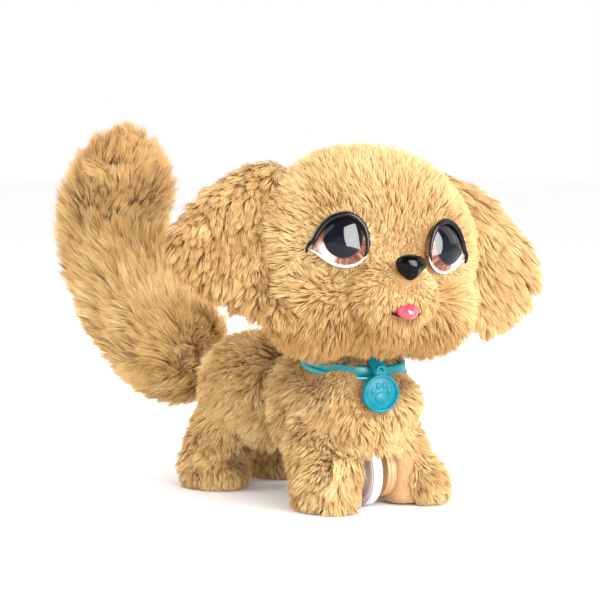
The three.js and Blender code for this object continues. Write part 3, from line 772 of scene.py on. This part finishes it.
def rear_growth(places, normals):
    x, y, z = places.T
    count = len(x)
    on_leg = (np.hypot(np.abs(x) - HIND_LEG[0], y - HIND_LEG[1]) < 22) & (z < 40)
    paw = on_leg & (z < 14)
    comb = np.column_stack([0.15 * np.sign(x), np.full(count, 0.3), np.full(count, -0.9)])
    comb[paw] += np.column_stack([0.6 * normals[paw, 0], 0.6 * normals[paw, 1] - 0.5, np.zeros(paw.sum())])
    length = np.where(on_leg, 9.0, 10.5)
    length = np.where(paw, 7.5, length)
    under = (normals[:, 2] < -0.6) & (z < REAR_BELLY + 2)
    length = np.where(under, 5, length)
    # Darker on the underside: painted shade.
    tone = 0.1 * waves(places, 34, 7) - 0.12 * under
    keep = ~(under & (np.abs(x) < 19.5) & (y > 18) & (y < 76)) & (z > 1.2)
    root = smooth(np.hypot(x, z - TAIL_ROOT_Z), 20, 6) * smooth(y, 66, 74)
    comb = comb + np.column_stack([np.zeros(count), 2.2 * root, 0.9 * root])
    length = length + 6.5 * root
    return length, comb, 0.5 + 0.1 * root, tone, keep


# ---- Tail ----


def tail_line(count):
    route = [(0, y, z) for y, z in TAIL_ROUTE]
    return open_curve(route, count)


def tail_radius(share):
    swell = 15 + 15.5 * math.sin(min(1, share / 0.36) * math.pi / 2)
    swell += 3 * math.exp(-(((share - 0.3) / 0.14) ** 2))
    tip = max(0.0, (share - 0.8) / 0.2)
    return swell * math.sqrt(max(0.02, 1 - 0.9 * tip * tip))


def tail_skin():
    count = 36
    line = tail_line(count)
    radii = [max(3.0, tail_radius(i / (count - 1)) - 8) for i in range(count)]
    return merged([tube(line, radii, sides=24)], 2.4, 5)


def tail_growth(places, normals):
    stations = 60
    line = tail_line(stations)
    tangents = unit(np.gradient(line, axis=0))
    spot = nearest(places, line)
    share = spot / (stations - 1)
    comb = tangents[spot] + 0.15 * normals
    root = smooth(places[:, 1], 98, 90)[:, None]
    comb = comb * (1 - root) + root * np.array([0, -0.8, 0.25])
    length = 11 + 8.5 * smooth(share, 0.05, 0.4)
    tone = 0.07 * waves(places, 30, 8) - 0.03
    return length, comb, 0.42 + 0.12 * share, tone, np.ones(len(places), bool)


# ---- Head ----


def eye_frame(side):
    """Puts X outwards, Y up and Z out of the face, at the middle of an eye."""
    x, z = EYE_AT[side]
    wide, deep, high = HEAD_RADII
    rise = z - HEAD_AT[2]
    depth = math.sqrt(1 - (x / wide) ** 2 - (rise / high) ** 2) * deep
    swing = 1.35 if side > 0 else 1.0
    normal = Vector((x * side * swing / wide**2, -depth / deep**2, rise / high**2)).normalized()
    up = (Vector((0, 0, 1)) - normal * normal.z).normalized()
    out = up.cross(normal) * side
    turned = Matrix((out, up, normal)).transposed().to_4x4()
    return shift(x * side, HEAD_AT[1] - depth, z) @ turned


EYE_FRAMES = {side: eye_frame(side) for _, side in SIDES}


def eye_mound(side):
    """A low plinth under the eye, so that the pile meets its rim."""
    sides = 32
    angles = turns(sides)
    rings = []
    for scale, height in ((1.0, -14), (1.0, -6), (0.96, -2.5), (0.8, -1.5)):
        x = EYE_RADII[0] * scale * np.cos(angles)
        y = EYE_RADII[1] * scale * np.sin(angles)
        rings.append(np.column_stack([x, y, np.full(sides, height)]))
    points, faces = loft(rings)
    return placed(points, EYE_FRAMES[side]) / MM, faces


def head_skin():
    parts = [
        ball((0, 8, 138.5), (60, 44, 51)),
        ball((0, -39, 117.5), (22.5, 21, 17.5)),
        ball((0, -34, 101), (15, 15, 9)),
        ball((0, -12, 103), (30, 26, 16)),
        eye_mound(1),
        eye_mound(-1),
    ]
    for _, side in SIDES:
        lift = 2.5 if side > 0 else 0
        parts.append(ball((29 * side, -6, 109 + lift), (27 - lift / 2, 28, 25 - lift / 2)))
    return merged(parts, 2.2, 8)


def eye_distance(places, side):
    """How far, as a share of the eye's own size, each place is from the middle of an eye."""
    table = np.array(EYE_FRAMES[side].inverted())
    local = places @ table[:3, :3].T + table[:3, 3]
    away = np.hypot(local[:, 0] / EYE_RADII[0], local[:, 1] / EYE_RADII[1])
    return np.where(local[:, 2] < -25, 9, away), local


def head_growth(places, _normals):
    x, y, z = places.T
    count = len(x)
    nose = np.linalg.norm((places - NOSE_AT) / (1.0, 1.0, 0.85), axis=1)
    comb = unit(places - NOSE_AT - np.array([0, 0, 4.0]))
    lower = smooth(z, 118, 92)
    comb = comb + np.column_stack([np.zeros(count), np.zeros(count), -1.1 * lower])
    length = 3.6 + 4.8 * smooth(nose, 12, 46) + 3.4 * smooth(nose, 44, 70) * smooth(z, 142, 112)
    # The lower face, towards the jaw, is darkened with painted shade.
    tone = 0.1 * waves(places, 40, 9) + 0.03 * smooth(nose, 40, 15) - 0.62 * smooth(z, 114, 92)
    keep = (nose > 9.6) & ((np.hypot(x, y - NECK_Y) > 20) | (z > 100))
    for _, side in SIDES:
        away, local = eye_distance(places, side)
        keep &= away > 0.93
        close = smooth(away, 1.7, 1.0)
        length = length * (1 - 0.42 * close)
        radial = unit(local * (1, 1, 0)) @ np.array(EYE_FRAMES[side])[:3, :3].T
        comb = comb + 1.2 * close[:, None] * radial
        brow = smooth(local[:, 1], 2, 14) * smooth(away, 1.7, 1.05) * smooth(local[:, 0], -4, 12)
        tone = tone - 0.42 * brow
    mouth = np.linalg.norm((places - TONGUE_AT) / (1.1, 1.0, 0.62), axis=1)
    keep &= mouth > 7.2
    under_lip = np.exp(-((x / 9) ** 2) - ((z - 92) / 9) ** 2) * (y < -5)
    tone = tone - 0.35 * smooth(mouth, 12, 7) + 0.1 * under_lip
    # The snout is darkened a little, and more in a ring round its edge: painted shade that shows its
    # roundness. The pile is also shorter along that ring.
    snout = np.hypot((x - SNOUT_AT[0]) / SNOUT_RADII[0], (z - SNOUT_AT[1]) / SNOUT_RADII[1]) + 9.0 * (y > -18)
    snout_shade_ring = np.exp(-(((snout - 1.05) / 0.14) ** 2)) * smooth(z, 134, 126)
    tone = tone - 0.1 * smooth(snout, 1.1, 0.8) - 0.24 * snout_shade_ring
    length = length - 1.2 * snout_shade_ring
    length = length + 1.5 * smooth(z, 160, 190)
    stand = 0.5 - 0.1 * smooth(nose, 40, 15)
    return length, comb, stand, tone, keep


EAR_OUTLINES = {
    1: (
        (44, 182), (58, 180), (75, 170), (90, 154), (100, 137), (98, 122),
        (88, 109), (74, 102), (63, 107), (54, 122), (45, 150),
    ),
    -1: (
        (44, 179), (60, 180), (81, 169), (100, 151), (110, 136), (105, 124),
        (91, 114), (72, 105), (56, 99), (45, 103), (42, 122), (42, 150),
    ),
}


def ear_skin(side):
    """A soft leaf: an outline in the plane of the ear, puffed on both faces."""
    outline = closed_curve(EAR_OUTLINES[side], 48)
    middle = np.array(EAR_MIDDLE)
    layers = ((0.25, 6.0), (0.6, 5.2), (0.85, 3.6), (1.0, 0.0), (0.85, -3.6), (0.6, -5.2), (0.25, -6.0))
    rings = []
    for scale, thick in layers:
        flat = middle + (outline - middle) * scale
        hang = 9 + 0.24 * (flat[:, 1] - 148) - 0.003 * (flat[:, 0] - EAR_MIDDLE[0]) ** 2
        if side < 0:
            hang = hang - 22 * smooth(flat[:, 1], 128, 98) * smooth(flat[:, 0], 82, 50)
        rings.append(np.column_stack([flat[:, 0] * side, hang - thick, flat[:, 1]]))
    return merged([loft(rings)], 1.8, 4)


def ear_growth(side):
    crown = np.array([44.0 * side, 10.0, 196.0])

    def growth(places, normals):
        count = len(places)
        comb = unit(places - crown) + np.array([0, 0, -0.25])
        rim = 1 - np.abs(normals[:, 1])
        length = 13.0 + 3.5 * smooth(rim, 0.3, 0.9) * smooth(places[:, 2], 170, 140)
        # The right ear's tone is lowered further than the left's: painted shade.
        tone = 0.07 * waves(places, 26, 12 + side) - (0.12 if side > 0 else 0.34)
        return length, comb, np.full(count, 0.28), tone, np.ones(count, bool)

    return growth


# ---- Face pieces ----

LID_LINE = (
    (15.0, -6.2), (13.4, -1.0), (11.2, 3.9), (8.3, 8.0), (4.9, 10.9), (1.3, 12.6), (-2.4, 13.3), (-6.0, 12.5),
    (-9.2, 10.5), (-11.8, 7.5), (-13.6, 3.4), (-14.4, -1.4), (-14.2, -5.3), (-12.9, -8.2), (-10.5, -10.8),
    (-7.0, -12.6), (-2.2, -13.3), (2.7, -12.4), (6.9, -10.6), (10.2, -8.5), (12.9, -7.0),
)


def dome_height(share):
    return 1.4 + 5.0 * (1 - share**2)


def eye_piece(name, shape, side, look):
    """A piece of the face, given in the frame of an eye."""
    return mesh_object(name, shape, HEAD @ EYE_FRAMES[side], LOOKS[look], "head")


def eye_dome(name, side):
    """The clear dome with the painted eye, charted flat across its front."""
    sides = 96
    outline = closed_curve(LID_LINE, sides) * 0.965
    shares = np.concatenate([np.linspace(0.04, 0.9, 20), [0.95, 0.985, 1.0]])
    rings = [np.column_stack([outline * share, np.full(sides, dome_height(share))]) for share in shares[::-1]]
    rings.insert(0, np.column_stack([outline, np.full(sides, -2.0)]))
    points, faces = loft(rings)
    points[-1] = (0, 0, dome_height(0))
    chart = points[:, :2] / EYE_CHART + 0.5
    faces = faces if side > 0 else [face[::-1] for face in faces]
    dome = eye_piece(name, (points, faces), side, "eye")
    layer = dome.data.uv_layers.new(name="OFBake")
    for loop in dome.data.loops:
        layer.data[loop.index].uv = chart[loop.vertex_index]
    return dome


def eye_lid(name, side):
    """The black lash line: thick over the top, with a pointed wing at the outer corner."""
    wing = [(17.2, -8.2), (16.0, -3.8)]
    count = 70
    line = open_curve(wing + list(LID_LINE[1:14]), count)
    share = np.linspace(0, 1, count)
    radii = 0.3 + 1.3 * np.sin(np.clip(share * 1.02, 0, 1) ** 0.7 * math.pi) ** 0.6
    height = 1.6 + 1.0 * np.sin(share * math.pi)
    height[:6] -= np.linspace(1.6, 0, 6)
    return eye_piece(name, tube(np.column_stack([line, height]), radii), side, "black")


def lashes(name, side):
    """A fringe of short black lashes that lean out from the lash line."""
    rng = np.random.default_rng(40 + side)
    line = np.column_stack([open_curve(LID_LINE[:13], LASH_COUNT), np.full(LASH_COUNT, 2.0)])
    along = unit(np.gradient(line, axis=0))
    sweep = along * rng.normal(0.35, 0.25, LASH_COUNT)[:, None]
    lean = unit(line * (1, 1, 0)) + sweep + np.array([0, 0, 0.25])
    swell = np.sin(np.linspace(0.1, 1, LASH_COUNT) * math.pi)
    reach = 1.5 + 1.3 * swell * rng.uniform(0.5, 1.2, LASH_COUNT)
    tips = line + unit(lean) * reach[:, None]
    points = np.stack([line - along * 0.3, line + along * 0.3, tips], axis=1).reshape(-1, 3)
    faces = [(3 * i, 3 * i + 1, 3 * i + 2) for i in range(LASH_COUNT)]
    return eye_piece(name, (points, faces), side, "black")


def lower_rim(name, side):
    """The white rim under the eye."""
    count = 48
    line = open_curve(LID_LINE[12:] + LID_LINE[:1], count) * 1.015
    share = np.linspace(0, 1, count)
    radii = 0.2 + 0.55 * np.sin(share * math.pi) ** 0.5
    path = np.column_stack([line, np.full(count, 1.1)])
    return eye_piece(name, tube(path, radii, sides=10), side, "white_rim")


def nose_shape():
    """A rounded triangle, wide at the top, with two nostrils."""
    points, faces = ball((0, 0, 0), (1, 1, 1), 40, 56)
    x, y, z = points.T
    wide = 10.3 * (0.76 + 0.34 * z - 0.12 * z**2)
    out = np.column_stack([x * wide, y * 6.8 - 0.8 * z, z * 6.9])
    for side in (1, -1):
        away = np.hypot((out[:, 0] - 4.6 * side) / 2.6, (out[:, 2] + 1.2) / 1.7)
        out[:, 1] += 2.0 * np.exp(-(away**2)) * (y < 0)
    groove = np.exp(-((out[:, 0] / 0.8) ** 2)) * smooth(out[:, 2], 1, -3)
    out[:, 1] += 0.9 * groove * (y < 0)
    return out + NOSE_AT, faces


def tongue_shape():
    points, faces = ball((0, 0, 0), (1, 1, 1), 32, 44)
    x, y, z = points.T
    out = np.column_stack([x * 6.0, y * 8.0, z * 4.5])
    out[:, 2] -= 0.5 * np.exp(-((out[:, 0] / 1.3) ** 2)) * (z > 0)
    out[:, 2] -= 1.2 * smooth(-y, 0, 1)
    return out + TONGUE_AT, faces


def mouth_shape():
    """The dark seam of the mouth, running out to both sides under the muzzle."""
    count = 40
    seam = ((-11.5, -52, 109.8), (-6, -56, 107.4), (0, -57.5, 106.6), (6, -56, 107.4), (11.5, -52, 109.8))
    line = open_curve(seam, count)
    share = np.linspace(0, 1, count)
    return tube(line, 0.3 + 0.6 * np.sin(share * math.pi), sides=10)


# ---- Collar and tag ----


def collar_height(points):
    """The collar sits low at the throat and high at the nape."""
    return points[:, 2] + 1.6 - 0.05 * points[:, 0] + 0.13 * (points[:, 1] - NECK_Y)


def leaned(shape):
    points, faces = shape
    points = points.copy()
    points[:, 2] = collar_height(points)
    return points, faces


def ring_section(inner, outer, bottom, top, sides=72):
    """A hoop around the neck with rounded edges."""
    middle, half_wide = (inner + outer) / 2, (outer - inner) / 2
    centre, half_high = (bottom + top) / 2, (top - bottom) / 2
    across, up = rounded_square(HOOP_CORNERS)
    section = list(zip(middle + half_wide * across, centre + half_high * up))
    points, faces = [], []
    for turn in range(sides):
        angle = 2 * math.pi * turn / sides
        for radius, z in section:
            points.append((radius * math.cos(angle), NECK_Y + radius * math.sin(angle), z))
        a, b = turn * HOOP_CORNERS, (turn + 1) % sides * HOOP_CORNERS
        for step in range(HOOP_CORNERS):
            after = (step + 1) % HOOP_CORNERS
            faces.append((a + step, b + step, b + after, a + after))
    return np.array(points), faces


def strap_shape():
    """The moulded tab that goes over the collar and holds the tag.

    Levels are (z, y, half width, half depth).
    """
    levels = (
        (71.6, -20.4, 2.6, 0.7), (72.4, -20.3, 3.2, 1.3), (75, -18.4, 3.5, 2.2),
        (78.5, -15, 4.1, 2.6), (83, -12.4, 4.3, 2.0), (84.6, -12, 3.6, 0.8),
    )
    return post([(z, 0, y, wide, depth) for z, y, wide, depth in levels], sides=40, power=0.5)


def disc(radius, front, back, edge=0.5, sides=64):
    """A round plate facing -Y, about the middle of the tag."""
    angles = turns(sides)
    rings = []
    inner = radius - edge
    for r, y in ((inner, front), (radius, front + edge), (radius, back - edge), (inner, back)):
        rings.append(np.column_stack([r * np.cos(angles), np.full(sides, y), r * np.sin(angles)]))
    return loft(rings)


def tag_shape():
    """A round tag with a raised rim, an embossed paw print and a lug at the top."""
    middle = np.array([0, -20.6, TAG_AT[1]])
    sides = 64
    angles = turns(sides)
    circle = np.column_stack([np.cos(angles), np.zeros(sides), np.sin(angles)])
    rim_line = 9.4 * circle + np.array([0, -0.9, 0])
    lug_line = 2.1 * circle + np.array([0, 0, 12.2])
    parts = [
        disc(TAG_RADIUS, -0.9, 1.1),
        tube(rim_line, 0.85, sides=10, closed=True),
        tube(lug_line, 0.8, sides=10, closed=True),
        ball((0, -0.9, -2.4), (3.7, 0.75, 3.0), 12, 24),
    ]
    for x, z, wide in ((-4.6, 1.2, 1.35), (-1.8, 4.0, 1.5), (1.8, 4.0, 1.5), (4.6, 1.2, 1.35)):
        parts.append(ball((x, -0.9, z), (wide, 0.7, wide * 1.3), 10, 20))
    points, faces = together(*parts)
    return points + middle, faces


# ---- Building ----


def covered(name, shape, matrix, body, count, style, seed, stands_for, **settings):
    """A stuffed skin and the pile on it."""
    skin = mesh_object(f"{name}_skin", shape, matrix, LOOKS["backing"], body)
    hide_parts(*stands_for)
    coat = pile(f"{name}_pile", shape, matrix, body, count, style, seed, **settings)
    return skin, coat


def build_plush():
    covered(
        "front", front_skin(), FRONT, "front", 60000, front_growth, 11,
        ["chest_plush", "front_leg_left_plush", "front_leg_right_plush"],
        tuft=3.6, wild=0.3, contrast=0.75,
    )
    covered(
        "rear", rear_skin(), REAR, "rear", 56000, rear_growth, 12,
        ["haunch_plush", "hind_leg_left_plush", "hind_leg_right_plush"],
        tuft=3.8, wild=0.32, contrast=0.8,
    )
    covered(
        "tail", tail_skin(), REAR, "tail", 52000, tail_growth, 13, ["tail_plush"],
        tuft=4.4, lock=15, pull=0.62, wild=0.42, width=0.66, contrast=0.8,
    )
    covered(
        "head", head_skin(), HEAD, "head", 68000, head_growth, 14, ["head_plush"],
        tuft=3.2, wild=0.27, pull=0.45, width=0.62, contrast=0.65,
    )
    for name, side in SIDES:
        covered(
            f"ear_{name}", ear_skin(side), HEAD, "head", 22000, ear_growth(side), 15 + side, [f"ear_{name}"],
            tuft=4.6, wild=0.26, pull=0.7, contrast=0.9,
        )


def build_waist():
    """One skin over the joint between the halves; it rides on neither."""
    pieces = covered(
        "waist", waist_skin(), FRONT, None, 16000, waist_growth, 18,
        ["waist_gusset_left", "waist_gusset_right"], tuft=3.8, wild=0.3,
    )
    for piece in pieces:
        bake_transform(piece)


def build_panels():
    for name, side in SIDES:
        panel = mesh_object(f"velour_panel_{name}", velour_panel(side), FRONT, LOOKS["velour"], "front")
    rim = mesh_object("gear_rim", gear_rim(), FRONT, LOOKS["tan"], "front")


def standing_for(piece, node):
    """Hides the CAD node that a piece stands for."""
    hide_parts(node)


def build_face():
    for name, side in SIDES:
        standing_for(eye_dome(f"eye_dome_{name}", side), f"eye_lens_{name}")
        standing_for(eye_lid(f"lash_line_{name}", side), f"eye_socket_{name}")
        lashes(f"lashes_{name}", side)
        lower_rim(f"lower_rim_{name}", side)
    nose = mesh_object("nose_moulding", nose_shape(), HEAD, LOOKS["nose"], "head")
    standing_for(nose, "nose")
    tongue = mesh_object("tongue_moulding", tongue_shape(), HEAD, LOOKS["tongue"], "head")
    standing_for(tongue, "tongue")
    mesh_object("mouth_seam", mouth_shape(), HEAD, LOOKS["mouth"], "head")


def build_collar():
    band = leaned(ring_section(24.8, 28.2, 72.6, 78.4))
    bead = leaned(ring_section(25.4, 29.2, 70.2, 73.0))
    for name, shape, look, body, node in (
        ("collar_strap", band, "collar", "front", "collar_band"),
        ("collar_bead", bead, "piping", "front", "collar_piping"),
        ("strap_tab", strap_shape(), "tag", "front", "collar_loop"),
        ("paw_tag", tag_shape(), "tag", "tag", "tag_disc"),
    ):
        standing_for(mesh_object(name, shape, COLLAR, LOOKS[look], body), node)


CAD_LOOKS = {
    "wheel": ["wheel_rim"],
    "tread": ["wheel_tread"],
    "velour": ["front_sole_left", "front_sole_right", "hind_sole_left", "hind_sole_right"],
    "tan": ["drive_housing_left", "drive_housing_right"],
    "grey": ["battery_door", "rear_housing", "switch_plate"],
    "dark": ["power_slider"],
}


def dress_cad():
    for look, nodes in CAD_LOOKS.items():
        for node in nodes:
            mesh = frame["nodes"][node].data
            mesh.materials.clear()
            mesh.materials.append(LOOKS[look])


# ---- Studio ----


def outward(azimuth, elevation):
    """The direction from the toy at an azimuth and elevation in degrees; the toy's front half faces 0."""
    a, e = math.radians(azimuth), math.radians(elevation)
    return Vector((math.sin(a) * math.cos(e), -math.cos(a) * math.cos(e), math.sin(e)))


def aimed(obj, target):
    direction = Vector(target) - obj.location
    obj.rotation_euler = direction.to_track_quat("-Z", "Y").to_euler()


def softbox(name, azimuth, elevation, distance, size, power):
    lamp = bpy.data.lights.new(name, "AREA")
    lamp.shape = "RECTANGLE"
    lamp.size, lamp.size_y = size
    lamp.energy = power
    obj = in_scene(name, lamp)
    obj.location = Vector(TOY_MIDDLE) + outward(azimuth, elevation) * distance
    aimed(obj, TOY_MIDDLE)
    return obj


def sky_lamp(azimuth, elevation, power):
    """Soft even light from above that reaches the whole floor."""
    lamp = bpy.data.lights.new("sky_lamp", "SUN")
    lamp.angle = math.radians(100)
    lamp.energy = power
    obj = in_scene("sky_lamp", lamp)
    obj.location = outward(azimuth, elevation) * 3
    aimed(obj, (0, 0, 0))
    obj.visible_glossy = False


def build_world():
    """Bright around the horizon, as white paper is, and dimmer overhead."""
    world = bpy.data.worlds.new("studio")
    world.use_nodes = True
    nodes, links = world.node_tree.nodes, world.node_tree.links
    split = nodes.new("ShaderNodeSeparateXYZ")
    links.new(nodes.new("ShaderNodeTexCoord").outputs["Generated"], split.inputs[0])
    ramp = nodes.new("ShaderNodeValToRGB")
    ramp.color_ramp.elements[0].position = 0.2
    ramp.color_ramp.elements[0].color = (1.0, 1.0, 1.0, 1)
    ramp.color_ramp.elements[1].position = 0.5
    ramp.color_ramp.elements[1].color = (0.3, 0.3, 0.31, 1)
    links.new(split.outputs["Z"], ramp.inputs["Fac"])
    links.new(ramp.outputs["Color"], nodes["Background"].inputs["Color"])
    bpy.context.scene.world = world


def build_studio():
    bpy.context.scene.view_settings.view_transform = "Standard"
    sky_lamp(12, 42, 2.95)
    softbox("front_box", 4, 14, 0.95, (0.42, 0.95), 3)
    softbox("left_box", -112, 38, 1.3, (1.1, 1.1), 8)
    softbox("right_box", 70, 30, 1.3, (1.0, 1.0), 6)
    softbox("back_box", 150, 40, 1.5, (1.0, 1.0), 6)
    glint = softbox("glint_box", 4, 14, 0.9, (0.6, 1.3), 54)
    glint.visible_diffuse = False
    sides = 64
    angles = turns(sides)
    points = np.column_stack([FLOOR_RADIUS * np.cos(angles), FLOOR_RADIUS * np.sin(angles), np.zeros(sides)])
    floor = mesh_object("floor", (points, [tuple(range(sides))]), Matrix.Identity(4), LOOKS["floor"], None)


def build_camera():
    azimuth = math.radians(VIEW[0])
    right = Vector((math.cos(azimuth), math.sin(azimuth), 0))
    aim = Vector(VIEW_AIM) + right * VIEW_SHIFT
    lens = bpy.data.cameras.new("camera")
    lens.sensor_width = 36
    lens.lens = LENS_MM
    obj = in_scene("camera", lens)
    obj.location = aim + outward(*VIEW) * VIEW_DISTANCE
    aimed(obj, aim)
    bpy.context.scene.camera = obj


build_plush()
build_waist()
build_panels()
build_face()
build_collar()
dress_cad()
build_world()
build_studio()
build_camera()
